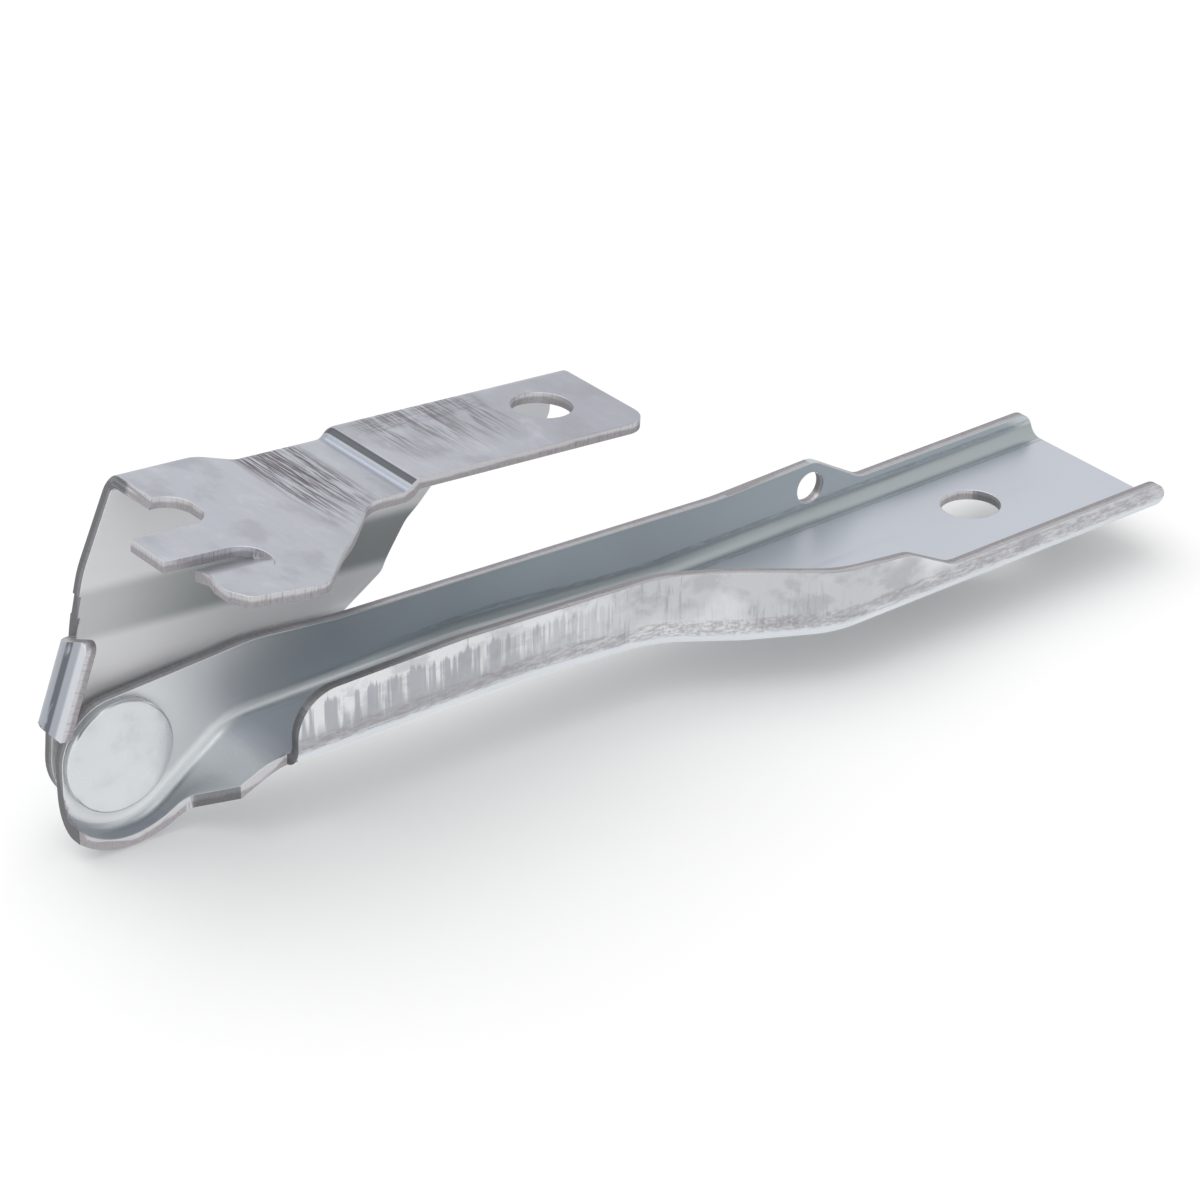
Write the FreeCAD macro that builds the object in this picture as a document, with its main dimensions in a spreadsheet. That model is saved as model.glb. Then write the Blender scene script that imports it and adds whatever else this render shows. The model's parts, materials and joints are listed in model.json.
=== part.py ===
import FreeCAD, Part
import math
import os
import Sketcher

os.makedirs("parts", exist_ok=True)
doc = FreeCAD.newDocument("bonnet_hinge")
Vec = FreeCAD.Vector

# All lengths in millimetres. Origin: middle of the arm's bolt hole on the underside of its floor.
# X runs along the arm towards the bolt hole end, Y to the back along the pivot, Z up.
SIZES = {
    # both stampings are 2 mm sheet
    "sheet": 2.0,
    "bend_in": 2.5,
    "bracket_bend_in": 1.5,
    "crease_in": 12.0,
    "tab_bend_in": 2.8,
    "strip_bend_in": 7.0,
    # long arm, seen from the side
    "arm_end_x": 28.3,
    "arm_rear_y": 16.25,
    "arm_front_y": -21.3,
    "arm_block_top": 40.0,
    "rise_start_x": -62.0,
    "rise_end_x": -106.0,
    "raised_z": 3.5,
    "rise_r": 45.0,
    "drop_angle": 35.0,
    "drop_r": 10.0,
    "nose_bend_r": 15.6,
    # long arm, seen from above
    "jog_right_x": -49.6,
    "jog_left_x": -77.4,
    "jog_left_y": -6.6,
    "jog_r": 20.0,
    "wall_end_x": -151.7,
    "wall_end_y": -3.4,
    "floor_edge_y": -1.2,
    "floor_corner_x": -159.4,
    "floor_corner_y": 1.1,
    "hook_corner_x": -164.9,
    "hook_corner_y": 9.3,
    "hook_edge_x": -172.0,
    "hook_edge_y": 10.0,
    # top edges of the arm's two walls
    "lip_z": 6.4,
    "ear_foot_x": -14.3,
    "ear_top_x": -25.2,
    "ear_top_z": 12.9,
    "web_dip_x": -48.0,
    "web_dip_z": 12.4,
    "web_mid_x": -130.0,
    "web_mid_z": 16.6,
    "web_peak_x": -147.0,
    "web_peak_z": 18.6,
    "wall_foot_x": -23.5,
    "wall_step_x": -33.5,
    "wall_step_z": 11.6,
    "wall_bow_x": -64.6,
    "wall_bow_z": 15.2,
    "wall_high_x": -118.0,
    "wall_high_z": 17.4,
    "wall_end_z": 16.9,
    "wall_end_r": 8.0,
    "lip_corner_r": 3.0,
    # holes of the arm
    "arm_hole_d": 11.0,
    "web_hole_d": 6.0,
    "web_hole_x": -26.3,
    "web_hole_z": 7.9,
    # pivot
    "pivot_x": -174.7,
    "pivot_z": 6.9,
    "lug_r": 10.3,
    "lug_climb": 25.4,
    "rivet_head_d": 20.1,
    "rivet_head_t": 1.95,
    "rivet_edge": 0.4,
    "rivet_body_d": 10.0,
    "rivet_neck_d": 8.0,
    "rivet_tail_d": 13.5,
    "rivet_tail_t": 3.0,
    "bush_out_d": 12.0,
    "bush_rim_d": 17.0,
    "bush_rim_t": 0.6,
    "bush_play": 0.06,
    "washer_d": 18.0,
    "washer_t": 0.4,
    "backing_d": 18.0,
    "backing_t": 1.6,
    "side_play": 0.05,
    # bonnet bracket, in its own frame: origin on the pivot, flange nearly level
    "bracket_tilt": 4.97,
    "flange_w": 48.9,
    "tip_w": 49.5,
    "recess_w": 47.1,
    "tip_ramp_top_u": 14.2,
    "tip_ramp_foot_u": 22.2,
    "tip_top_r": 12.0,
    "tip_foot_r": 8.0,
    "recess_end_u": 38.9,
    "pad_start_u": 40.6,
    "step_crest_in": 0.6,
    "step_foot_r": 1.2,
    "pad_end_u": 89.2,
    "pad_front_y": -8.4,
    "flange_rear_y": 17.6,
    "web_lower_y": 19.42,
    "flange_hole_u": 76.4,
    "flange_hole_y": 5.0,
    "flange_hole_d": 10.6,
    "pad_corner_r": 4.5,
    "waist_u": 31.4,
    "brow_u": 5.6,
    "brow_y": -34.2,
    "front_tip_u": -7.2,
    "front_tip_y": -31.9,
    "front_end_u": -9.0,
    "front_end_y": -28.5,
    "notch_r": 4.5,
    "notch_end_u": 3.7,
    "rear_notch_y": -0.8,
    "front_notch_y": -21.0,
    "tongue_end_u": -11.9,
    "tongue_rear_y": -6.2,
    "tongue_front_y": -15.8,
    "strip_bend_y": -22.8,
    "strip_end_y": -14.0,
    "strip_low_w": 46.0,
    "strip_draw": 4.2,
    # bracket web, side outline
    "upper_crease_w": 29.8,
    "lower_crease_w": 20.4,
    "web_left_top_u": -0.8,
    "web_left_mid_u": -7.0,
    "web_left_mid_w": 31.0,
    "web_left_low_u": -6.4,
    "web_left_low_w": 22.4,
    "web_foot_u": 40.5,
    "web_knee_u": 54.5,
    "web_knee_w": 18.3,
    "web_hip_u": 57.9,
    "web_hip_w": 27.7,
    "web_arch_u": 67.4,
    "lip_low_w": 38.4,
    "lip_end_u": 87.0,
    "web_free_w": 44.0,
    # folded stop tab on the bracket web
    "tab_top_w": 25.0,
    "tab_low_w": 7.6,
    "tab_top_u": -8.8,
    "tab_front_y": 9.2,
    "tab_lean": 16.1,
}

sheet_table = doc.addObject("Spreadsheet::Sheet", "Sizes")
for row, (alias, size) in enumerate(SIZES.items(), start=1):
    sheet_table.set("A%d" % row, alias)
    sheet_table.set("B%d" % row, str(size))
    sheet_table.setAlias("B%d" % row, alias)
doc.recompute()


# ratios that follow from the sizes: each has its value and the same formula for the size table
RATIOS = {}


def term(word):
    value = 1.0
    for factor in word.split("*"):
        if factor in SIZES:
            value *= SIZES[factor]
        elif factor in RATIOS:
            value *= RATIOS[factor][0]
        else:
            value *= float(factor)
    return value


def number(text):
    # value of a sum such as "pivot_x - sheet*0.5"
    total = 0.0
    sign = 1.0
    for word in text.split():
        if word in "+-":
            sign = 1.0 if word == "+" else -1.0
        else:
            total += sign * term(word)
    return total


def bound(text):
    # the same sum written for the size table
    words = []
    for word in text.split():
        factors = []
        for factor in word.split("*"):
            if factor in SIZES:
                factors.append("Sizes." + factor)
            elif factor in RATIOS:
                factors.append("(" + RATIOS[factor][1] + ")")
            else:
                factors.append(factor)
        words.append("*".join(factors))
    return " ".join(words)


def half_turn(rise, run):
    # tangent of half a slope's angle: how far the slope's corners shift for each unit of offset
    value = math.tan(math.atan(number(rise) / number(run)) / 2.0)
    return value, "tan(atan((%s) / (%s)) / 2)" % (bound(rise), bound(run))


RATIOS["rise_half"] = half_turn("raised_z", "rise_start_x - rise_end_x")
RATIOS["jog_half"] = half_turn("jog_left_y - arm_front_y", "jog_right_x - jog_left_x")
RATIOS["step_half"] = half_turn("flange_w - recess_w", "pad_start_u - recess_end_u")
RATIOS["tip_half"] = half_turn("tip_w - recess_w", "tip_ramp_foot_u - tip_ramp_top_u")
RATIOS["web_half"] = half_turn("web_lower_y - flange_rear_y", "upper_crease_w - lower_crease_w")
RATIOS["strip_half"] = half_turn("tip_w - strip_low_w", "strip_end_y - strip_bend_y")

# a line at an angle to the level that is tangent to a round end from below
quarter = math.radians(45.0)
drop = math.radians(SIZES["drop_angle"])
climb = math.radians(SIZES["lug_climb"])
lean = math.radians(SIZES["tab_lean"])
RATIOS["drop_run"] = (1.0 / math.tan(drop), "1 / tan(Sizes.drop_angle)")
RATIOS["drop_foot"] = (math.tan(quarter + drop / 2.0), "tan(45 + Sizes.drop_angle / 2)")
RATIOS["climb_rise"] = (math.tan(climb), "tan(Sizes.lug_climb)")
RATIOS["climb_drop"] = (1.0 / math.cos(climb), "1 / cos(Sizes.lug_climb)")
RATIOS["climb_foot"] = (math.tan(quarter + climb / 2.0), "tan(45 + Sizes.lug_climb / 2)")
RATIOS["lean_spread"] = (1.0 / math.cos(lean), "1 / cos(Sizes.tab_lean)")


def new_body(name):
    body = doc.addObject("PartDesign::Body", name)
    body.Label = name
    return body


def new_sketch(body, name, role, offset="0"):
    sketch = body.newObject("Sketcher::SketchObject", name)
    plane = [f for f in body.Origin.OriginFeatures if f.Role == role][0]
    sketch.AttachmentSupport = [(plane, "")]
    sketch.MapMode = "FlatFace"
    sketch.setExpression("AttachmentOffset.Base.z", bound(offset))
    return sketch


def fix(sketch, kind, geo, point, text):
    index = sketch.addConstraint(Sketcher.Constraint(kind, -1, 1, geo, point, number(text)))
    sketch.setExpression("Constraints[%d]" % index, bound(text))


def outline(sketch, corners):
    # closed outline through corners (x, y) or (x, y, radius); a radius rounds that corner
    count = len(corners)
    spots = [Vec(number(c[0]), number(c[1]), 0) for c in corners]
    enter = []
    leave = []
    arcs = []
    for i, corner in enumerate(corners):
        here = spots[i]
        if len(corner) < 3:
            enter.append(here)
            leave.append(here)
            arcs.append(None)
            continue
        back = (spots[i - 1] - here).normalize()
        ahead = (spots[(i + 1) % count] - here).normalize()
        half = back.getAngle(ahead) / 2.0
        radius = number(corner[2])
        reach = radius / math.tan(half)
        centre = here + (back + ahead).normalize() * (radius / math.sin(half))
        enter.append(here + back * reach)
        leave.append(here + ahead * reach)
        turn = back.cross(ahead).z < 0
        first, last = (enter[i], leave[i]) if turn else (leave[i], enter[i])
        start = math.atan2(first.y - centre.y, first.x - centre.x)
        end = math.atan2(last.y - centre.y, last.x - centre.x)
        if end < start:
            end += 2.0 * math.pi
        arcs.append((Part.ArcOfCircle(Part.Circle(centre, Vec(0, 0, 1), radius), start, end), turn))
    lines = []
    for i in range(count):
        lines.append(sketch.addGeometry(Part.LineSegment(leave[i], enter[(i + 1) % count])))
    for i, corner in enumerate(corners):
        before = lines[i - 1]
        after = lines[i]
        if arcs[i] is None:
            sketch.addConstraint(Sketcher.Constraint("Coincident", before, 2, after, 1))
            fix(sketch, "DistanceX", after, 1, corner[0])
            fix(sketch, "DistanceY", after, 1, corner[1])
            continue
        arc = sketch.addGeometry(arcs[i][0])
        start, end = (1, 2) if arcs[i][1] else (2, 1)
        peak = sketch.addGeometry(Part.Point(spots[i]), True)
        fix(sketch, "DistanceX", peak, 1, corner[0])
        fix(sketch, "DistanceY", peak, 1, corner[1])
        sketch.addConstraint(Sketcher.Constraint("PointOnObject", peak, 1, before))
        sketch.addConstraint(Sketcher.Constraint("PointOnObject", peak, 1, after))
        sketch.addConstraint(Sketcher.Constraint("Tangent", before, 2, arc, start))
        sketch.addConstraint(Sketcher.Constraint("Tangent", arc, end, after, 1))
        index = sketch.addConstraint(Sketcher.Constraint("Radius", arc, number(corner[2])))
        sketch.setExpression("Constraints[%d]" % index, bound(corner[2]))


def ring(sketch, x, y, diameter):
    circle = sketch.addGeometry(Part.Circle(Vec(number(x), number(y), 0), Vec(0, 0, 1), number(diameter) / 2.0))
    fix(sketch, "DistanceX", circle, 3, x)
    fix(sketch, "DistanceY", circle, 3, y)
    index = sketch.addConstraint(Sketcher.Constraint("Diameter", circle, number(diameter)))
    sketch.setExpression("Constraints[%d]" % index, bound(diameter))


def pad(body, sketch, name, length):
    step = body.newObject("PartDesign::Pad", name)
    step.Profile = sketch
    step.setExpression("Length", bound(length))
    body.Tip = step
    doc.recompute()
    return step


def pocket(body, sketch, name, length, reverse=False):
    before = body.Shape.Volume
    step = body.newObject("PartDesign::Pocket", name)
    step.Profile = sketch
    step.setExpression("Length", bound(length))
    step.Reversed = reverse
    body.Tip = step
    doc.recompute()
    if not body.Shape.Volume < before - 0.01:
        raise RuntimeError("pocket takes nothing away: " + name)
    return step


def fillet(body, name, radius, wanted):
    base = body.Tip
    names = []
    for i, edge in enumerate(base.Shape.Edges, start=1):
        if wanted(edge):
            names.append("Edge%d" % i)
    if not names:
        raise RuntimeError("no edge found for " + name)
    step = body.newObject("PartDesign::Fillet", name)
    step.Base = (base, names)
    step.setExpression("Radius", bound(radius))
    body.Tip = step
    doc.recompute()
    return step


def middle(edge):
    return edge.valueAt((edge.FirstParameter + edge.LastParameter) / 2.0)


def heading(edge):
    return edge.tangentAt((edge.FirstParameter + edge.LastParameter) / 2.0)


def combine(body, tool, name, kind):
    step = body.newObject("PartDesign::Boolean", name)
    step.Type = kind
    step.setObjects([tool])
    body.Tip = step
    doc.recompute()
    return step


# Long arm: the inner block is the outer block moved in by one sheet, and the arm is the difference.
def arm_block(name, inset, bend):
    body = new_body(name)
    # the floor drops into the round hook under the pivot, which is centred on it; the drop's top
    # lies where its tangent to the hook comes up to the raised floor
    hook_left = "pivot_x - nose_bend_r + " + inset
    drop_top = (hook_left + " + raised_z*drop_run + %s*drop_run - pivot_z*drop_run" % inset
                + " + nose_bend_r*drop_foot*drop_run - %s*drop_foot*drop_run" % inset)
    side = new_sketch(body, name + "_side", "XZ_Plane", inset + " - arm_rear_y")
    outline(side, [
        ("arm_end_x + " + inset, "arm_block_top"),
        ("arm_end_x + " + inset, inset),
        ("rise_start_x + %s*rise_half" % inset, inset, "rise_r - " + inset),
        ("rise_end_x + %s*rise_half" % inset, "raised_z + " + inset, "rise_r + " + inset),
        (drop_top, "raised_z + " + inset, "drop_r + " + inset),
        (hook_left, "pivot_z - nose_bend_r*drop_foot + %s*drop_foot" % inset, "nose_bend_r - " + inset),
        (hook_left, "arm_block_top"),
    ])
    pad(body, side, name + "_block", "arm_rear_y - arm_front_y - %s*2" % inset)
    plan = new_sketch(body, name + "_plan", "XY_Plane", "arm_block_top + 1")
    outline(plan, [
        ("arm_end_x + 9", "arm_front_y - 20"),
        ("arm_end_x + 9", "arm_front_y + " + inset),
        ("jog_right_x + %s*jog_half" % inset, "arm_front_y + " + inset, "jog_r - " + inset),
        ("jog_left_x + %s*jog_half" % inset, "jog_left_y + " + inset, "jog_r + " + inset),
        ("pivot_x - 25", "wall_end_y + " + inset),
        ("pivot_x - 25", "arm_front_y - 20"),
    ])
    pocket(body, plan, name + "_jog", "arm_block_top + 40")
    top = SIZES["arm_block_top"] - 8.0

    def floor_edge(edge):
        spot = middle(edge)
        way = heading(edge)
        along_y = abs(way.y) > 0.999
        return spot.z < top and not along_y and abs(way.z) < 0.999

    fillet(body, name + "_bend", bend, floor_edge)
    return body


arm_core = arm_block("arm_core", "sheet", "bend_in")
hinge_arm = arm_block("hinge_arm", "sheet*0", "bend_in + sheet")
combine(hinge_arm, arm_core, "arm_hollow", "Cut")

# top edge of the rear wall with the ear round the small hole, and the round nose
web_top = new_sketch(hinge_arm, "web_top", "XZ_Plane", "0 - arm_rear_y - 1")
outline(web_top, [
    ("arm_end_x + 5", "lip_z"),
    ("ear_foot_x", "lip_z", "4"),
    ("ear_top_x", "ear_top_z", "4"),
    ("web_dip_x", "web_dip_z", "60"),
    ("web_mid_x", "web_mid_z", "40"),
    ("web_peak_x", "web_peak_z", "30"),
    ("pivot_x - lug_r", "pivot_z + lug_r*0.95", "lug_r"),
    ("pivot_x - lug_r", "pivot_z - 40"),
    ("pivot_x - 40", "pivot_z - 40"),
    ("pivot_x - 40", "arm_block_top + 5"),
    ("arm_end_x + 5", "arm_block_top + 5"),
])
pocket(hinge_arm, web_top, "web_top_cut", "arm_rear_y - 7.5", True)

# top edge of the front wall, low lip at the bolt end, rounded at the pivot end
wall_top = new_sketch(hinge_arm, "wall_top", "XZ_Plane", "0 - hook_edge_y - 1.5")
outline(wall_top, [
    ("arm_end_x + 5", "lip_z"),
    ("wall_foot_x", "lip_z", "6"),
    ("wall_step_x", "wall_step_z", "6"),
    ("wall_bow_x", "wall_bow_z", "80"),
    ("wall_high_x", "wall_high_z", "80"),
    ("wall_end_x", "wall_end_z", "wall_end_r"),
    ("wall_end_x", "lip_z - 1"),
    ("pivot_x - 40", "lip_z - 1"),
    ("pivot_x - 40", "arm_block_top + 5"),
    ("arm_end_x + 5", "arm_block_top + 5"),
])
pocket(hinge_arm, wall_top, "wall_top_cut", "hook_edge_y - arm_front_y + 5", True)

# front edge of the floor beside the pivot, where only the hook stays
floor_edge = new_sketch(hinge_arm, "floor_edge", "XY_Plane", "arm_block_top")
outline(floor_edge, [
    ("wall_end_x", "arm_front_y - 5"),
    ("wall_end_x", "floor_edge_y"),
    ("floor_corner_x", "floor_corner_y"),
    ("hook_corner_x", "hook_corner_y", "4"),
    ("hook_edge_x", "hook_edge_y"),
    ("pivot_x - 40", "hook_edge_y"),
    ("pivot_x - 40", "arm_front_y - 5"),
])
pocket(hinge_arm, floor_edge, "floor_edge_cut", "arm_block_top + 40")


def lip_corner(edge):
    spot = middle(edge)
    at_end = abs(spot.x - SIZES["arm_end_x"]) < 0.01 and abs(spot.z - SIZES["lip_z"]) < 0.01
    return at_end and abs(heading(edge).y) > 0.99


fillet(hinge_arm, "lip_corners", "lip_corner_r", lip_corner)

floor_hole = new_sketch(hinge_arm, "floor_hole", "XY_Plane", "10")
ring(floor_hole, "0", "0", "arm_hole_d")
pocket(hinge_arm, floor_hole, "floor_hole_cut", "20")
web_holes = new_sketch(hinge_arm, "web_holes", "XZ_Plane", "0 - arm_rear_y - 3")
ring(web_holes, "web_hole_x", "web_hole_z", "web_hole_d")
ring(web_holes, "pivot_x", "pivot_z", "bush_out_d")
pocket(hinge_arm, web_holes, "web_holes_cut", "sheet + 5", True)


# Bonnet bracket, built round the pivot and then turned and moved into place.
def bracket_block(name, inset, bend, crease):
    body = new_body(name)
    side = new_sketch(body, name + "_side", "XZ_Plane", inset + " - web_lower_y")
    outline(side, [
        ("pad_end_u + " + inset, "flange_w - " + inset),
        ("pad_start_u + %s*step_half" % inset, "flange_w - " + inset, "step_crest_in + sheet - " + inset),
        ("recess_end_u + %s*step_half" % inset, "recess_w - " + inset, "step_foot_r + " + inset),
        ("tip_ramp_foot_u - %s*tip_half" % inset, "recess_w - " + inset, "tip_foot_r + " + inset),
        ("tip_ramp_top_u - %s*tip_half" % inset, "tip_w - " + inset, "tip_top_r - " + inset),
        ("tongue_end_u - " + inset, "tip_w - " + inset),
        ("tongue_end_u - " + inset, "0 - 30"),
        ("pad_end_u + " + inset, "0 - 30"),
    ])
    pad(body, side, name + "_block", "web_lower_y - brow_y + 6")
    # the web steps back below the flange so that it passes behind the arm
    rear = new_sketch(body, name + "_rear", "YZ_Plane", "tongue_end_u - 10")
    outline(rear, [
        ("flange_rear_y - " + inset, "tip_w + 10"),
        ("flange_rear_y - " + inset, "upper_crease_w + sheet*web_half - %s*web_half" % inset, crease[0]),
        ("web_lower_y - " + inset, "lower_crease_w + sheet*web_half - %s*web_half" % inset, crease[1]),
        ("web_lower_y - " + inset, "0 - 40"),
        ("web_lower_y + 20", "0 - 40"),
        ("web_lower_y + 20", "tip_w + 10"),
    ])
    pocket(body, rear, name + "_step", "pad_end_u - tongue_end_u + 30", True)
    rear_y = number("flange_rear_y - " + inset)

    def top_edge(edge):
        spot = middle(edge)
        on_top = spot.z > number("recess_w - sheet - 0.5")
        return on_top and abs(spot.y - rear_y) < 0.01 and abs(heading(edge).x) > 0.5

    fillet(body, name + "_bend", bend, top_edge)
    return body


bracket_core = bracket_block("bracket_core", "sheet", "bracket_bend_in", ("crease_in", "crease_in + sheet"))
bracket = bracket_block("bonnet_bracket", "sheet*0", "bracket_bend_in + sheet",
                        ("crease_in + sheet", "crease_in"))
combine(bracket, bracket_core, "bracket_hollow", "Cut")

# side outline of the web; everything outside it goes, and the pivot lug is round about the pivot
web_side = new_sketch(bracket, "web_side", "XZ_Plane", "0 - web_lower_y - 1")
outline(web_side, [
    ("web_left_top_u", "tip_w + 10"),
    ("web_left_top_u", "tip_w - 1", "6"),
    ("web_left_mid_u", "web_left_mid_w", "20"),
    ("web_left_low_u", "web_left_low_w"),
    ("web_left_low_u + 0.4", "web_left_low_w - 2"),
    ("0 - lug_r + 0.4", "tab_low_w"),
    ("0 - lug_r", "tab_low_w - 3"),
    ("0 - lug_r", "0 - lug_r*climb_foot", "lug_r"),
    ("web_foot_u", "web_foot_u*climb_rise - lug_r*climb_drop", "15"),
    ("web_knee_u", "web_knee_w", "2.5"),
    ("web_hip_u", "web_hip_w", "6"),
    ("web_arch_u", "lip_low_w", "6"),
    ("lip_end_u", "lip_low_w + 0.6", "3"),
    ("lip_end_u", "web_free_w"),
    ("pad_end_u + 5", "web_free_w"),
    ("pad_end_u + 5", "0 - 35"),
    ("tongue_end_u - 5", "0 - 35"),
    ("tongue_end_u - 5", "tip_w + 10"),
])
pocket(bracket, web_side, "web_side_cut", "web_lower_y - rear_notch_y - notch_r", True)

# flange seen from above: bolt pad, wide brow, two notches either side of the tongue
plan = new_sketch(bracket, "flange_plan", "XY_Plane", "tip_w + 5")
outline(plan, [
    ("pad_end_u", "web_lower_y + 4"),
    ("pad_end_u", "pad_front_y", "pad_corner_r"),
    ("waist_u", "pad_front_y - 0.3", "7"),
    ("brow_u", "brow_y", "5"),
    ("front_tip_u", "front_tip_y", "2"),
    ("front_end_u", "front_end_y"),
    ("front_end_u", "front_notch_y - notch_r"),
    ("notch_end_u", "front_notch_y - notch_r", "notch_r"),
    ("notch_end_u", "tongue_front_y - 0.1", "notch_r"),
    ("tongue_end_u", "tongue_front_y + 0.5"),
    ("tongue_end_u", "tongue_rear_y"),
    ("notch_end_u", "tongue_rear_y", "notch_r"),
    ("notch_end_u", "rear_notch_y + notch_r + 1.2", "notch_r"),
    ("web_left_top_u - 12", "rear_notch_y + notch_r + 1.2"),
    ("web_left_top_u - 12", "web_lower_y + 4"),
])
outline(plan, [
    ("pad_end_u + 10", "web_lower_y + 10"),
    ("pad_end_u + 10", "brow_y - 10"),
    ("tongue_end_u - 20", "brow_y - 10"),
    ("tongue_end_u - 20", "web_lower_y + 10"),
])
pocket(bracket, plan, "flange_plan_cut", "tip_w - web_free_w + 6")

# strip of sheet pressed down from the front arm of the flange until it passes under the tongue,
# its left end drawn back as it goes down
front_strip = new_body("front_strip")
strip_side = new_sketch(front_strip, "strip_side", "YZ_Plane", "front_end_u")
outline(strip_side, [
    ("front_notch_y - notch_r - 1.5", "tip_w"),
    ("strip_bend_y", "tip_w", "strip_bend_in + sheet"),
    ("strip_end_y", "strip_low_w"),
    ("strip_end_y", "strip_low_w - sheet"),
    ("strip_bend_y - sheet*strip_half", "tip_w - sheet", "strip_bend_in"),
    ("front_notch_y - notch_r - 1.5", "tip_w - sheet"),
])
pad(front_strip, strip_side, "strip_block", "notch_end_u + 1 - front_end_u")
strip_plan = new_sketch(front_strip, "strip_plan", "XY_Plane", "tip_w + 2")
outline(strip_plan, [
    ("front_end_u - 3", "strip_bend_y - 2"),
    ("front_end_u", "strip_bend_y - 2"),
    ("front_end_u + strip_draw*0.4", "strip_bend_y + 2", "6"),
    ("front_end_u + strip_draw", "strip_end_y + 1"),
    ("front_end_u - 3", "strip_end_y + 1"),
])
pocket(front_strip, strip_plan, "strip_plan_cut", "tip_w - strip_low_w + sheet + 4")
combine(bracket, front_strip, "strip_joined", "Fuse")

# stop tab, folded forward from the web and leaning with it
tab = new_sketch(bracket, "tab_profile", "XY_Plane", "tab_top_w")
outline(tab, [
    ("tab_top_u", "tab_front_y"),
    ("tab_top_u", "web_lower_y", "tab_bend_in + sheet"),
    ("tab_top_u + 8", "web_lower_y"),
    ("tab_top_u + 8", "web_lower_y - sheet"),
    ("tab_top_u + sheet*lean_spread", "web_lower_y - sheet", "tab_bend_in"),
    ("tab_top_u + sheet*lean_spread", "tab_front_y"),
])
tab_pad = bracket.newObject("PartDesign::Pad", "stop_tab")
tab_pad.Profile = tab
tab_pad.UseCustomVector = True
tab_pad.Direction = Vec(-math.sin(lean), 0, -math.cos(lean))
tab_pad.AlongSketchNormal = True
tab_pad.setExpression("Length", bound("tab_top_w - tab_low_w"))
bracket.Tip = tab_pad
doc.recompute()

# the tab's top edge falls towards the web
tab_slope = new_sketch(bracket, "tab_slope", "YZ_Plane", "tongue_end_u - 8")
outline(tab_slope, [
    ("tab_front_y - 1", "tab_top_w - 0.2"),
    ("web_lower_y + 1", "web_left_low_w - 2.2"),
    ("web_lower_y + 1", "tab_top_w + 4"),
    ("tab_front_y - 1", "tab_top_w + 4"),
])
pocket(bracket, tab_slope, "tab_slope_cut", "web_left_low_u - tongue_end_u + 8", True)


def tab_top_corner(edge):
    spot = middle(edge)
    at_front = abs(spot.y - SIZES["tab_front_y"]) < 0.01
    return at_front and abs(spot.z - SIZES["tab_top_w"]) < 1.5 and spot.x < 0 and abs(heading(edge).x) > 0.9


fillet(bracket, "tab_top_round", "sheet*0.8", tab_top_corner)

flange_hole = new_sketch(bracket, "flange_hole", "XY_Plane", "tip_w + 5")
ring(flange_hole, "flange_hole_u", "flange_hole_y", "flange_hole_d")
pocket(bracket, flange_hole, "flange_hole_cut", "15")
neck_hole = new_sketch(bracket, "neck_hole", "XZ_Plane", "0 - web_lower_y - 3")
ring(neck_hole, "0", "0", "rivet_neck_d")
pocket(bracket, neck_hole, "neck_hole_cut", "sheet + 5", True)
bracket.setExpression("Placement.Base.x", bound("pivot_x"))
bracket.setExpression("Placement.Base.z", bound("pivot_z"))
bracket.Placement.Rotation = FreeCAD.Rotation(Vec(0, 1, 0), SIZES["bracket_tilt"])


# Turned pieces of the pivot: each is a half section on the YZ plane turned about the pivot axis.
def turned(name, section):
    body = new_body(name)
    half = new_sketch(body, name + "_half", "YZ_Plane")
    outline(half, section)
    step = body.newObject("PartDesign::Revolution", name + "_turned")
    step.Profile = half
    step.ReferenceAxis = (half, ["H_Axis"])
    step.Angle = 360
    body.Tip = step
    body.setExpression("Placement.Base.x", bound("pivot_x"))
    body.setExpression("Placement.Base.z", bound("pivot_z"))
    doc.recompute()
    return body


web_front = "arm_rear_y - sheet"
turned("pivot_rivet", [
    (web_front + " - side_play - rivet_head_t", "0"),
    (web_front + " - side_play - rivet_head_t", "rivet_head_d*0.5 - rivet_edge"),
    (web_front + " - side_play - rivet_head_t + rivet_edge", "rivet_head_d*0.5"),
    (web_front + " - side_play", "rivet_head_d*0.5"),
    (web_front + " - side_play", "rivet_body_d*0.5"),
    ("web_lower_y - sheet", "rivet_body_d*0.5"),
    ("web_lower_y - sheet", "rivet_neck_d*0.5"),
    ("web_lower_y + backing_t", "rivet_neck_d*0.5"),
    ("web_lower_y + backing_t", "rivet_tail_d*0.5"),
    ("web_lower_y + backing_t + rivet_tail_t*0.5", "rivet_tail_d*0.5"),
    ("web_lower_y + backing_t + rivet_tail_t", "rivet_tail_d*0.25"),
    ("web_lower_y + backing_t + rivet_tail_t", "0"),
])
turned("pivot_bush", [
    (web_front, "rivet_body_d*0.5 + bush_play"),
    (web_front, "bush_out_d*0.5"),
    ("arm_rear_y", "bush_out_d*0.5"),
    ("arm_rear_y", "bush_rim_d*0.5"),
    ("arm_rear_y + bush_rim_t", "bush_rim_d*0.5"),
    ("arm_rear_y + bush_rim_t", "rivet_body_d*0.5 + bush_play"),
])
turned("thrust_washer", [
    ("web_lower_y - sheet - washer_t", "rivet_body_d*0.5"),
    ("web_lower_y - sheet - washer_t", "washer_d*0.5"),
    ("web_lower_y - sheet", "washer_d*0.5"),
    ("web_lower_y - sheet", "rivet_body_d*0.5"),
])
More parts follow.
